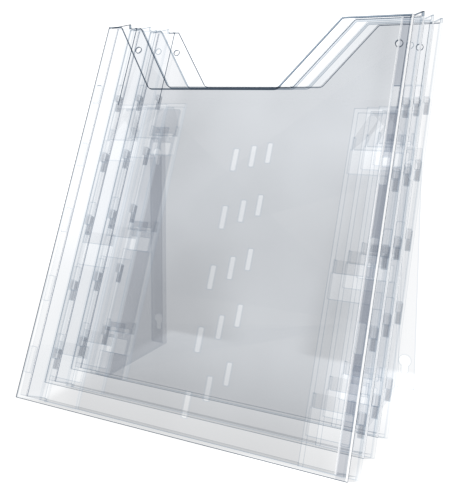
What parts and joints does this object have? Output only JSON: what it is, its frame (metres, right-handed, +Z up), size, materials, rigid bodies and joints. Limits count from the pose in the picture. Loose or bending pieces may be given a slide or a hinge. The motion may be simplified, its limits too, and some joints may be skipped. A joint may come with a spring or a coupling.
{
  "type": "magazine rack",
  "caption": "Leaning magazine rack of clear stepped literature pockets hooked one behind another, on slide-in stand brackets with keyhole flanges.",
  "frame": {"origin": "centre of the footprint on the desk", "axes": "+X to the user's right facing the front panels, +Y to the rear, +Z up"},
  "size_m": [0.24, 0.2082, 0.2774],
  "materials": {
    "clear_pocket": "clear, polished, with a faint grey-blue tint",
    "clear_bracket": "clear, polished, with a faint grey-blue tint"
  },
  "bodies": {
    "rear_pocket": {"rear_pocket_shell": "clear_pocket", "rear_pocket_back": "clear_pocket"},
    "middle_pocket": {"middle_pocket_shell": "clear_pocket", "middle_pocket_back": "clear_pocket"},
    "front_pocket": {"front_pocket_shell": "clear_pocket", "front_pocket_back": "clear_pocket"},
    "left_bracket": {"left_stand_bracket": "clear_bracket"},
    "right_bracket": {"right_stand_bracket": "clear_bracket"}
  },
  "joints": [
    {"name": "middle_pocket_lift", "type": "slide", "parent": "rear_pocket", "child": "middle_pocket", "axis": [0, 0.4098, 0.9122], "range_m": [0, 0.0086]},
    {"name": "front_pocket_lift", "type": "slide", "parent": "middle_pocket", "child": "front_pocket", "axis": [0, 0.4098, 0.9122], "range_m": [0, 0.0086]},
    {"name": "left_bracket_slide", "type": "slide", "parent": "rear_pocket", "child": "left_bracket", "axis": [0, -0.4098, -0.9122], "range_m": [0, 0.0086]},
    {"name": "right_bracket_slide", "type": "slide", "parent": "rear_pocket", "child": "right_bracket", "axis": [0, -0.4098, -0.9122], "range_m": [0, 0.0086]}
  ]
}
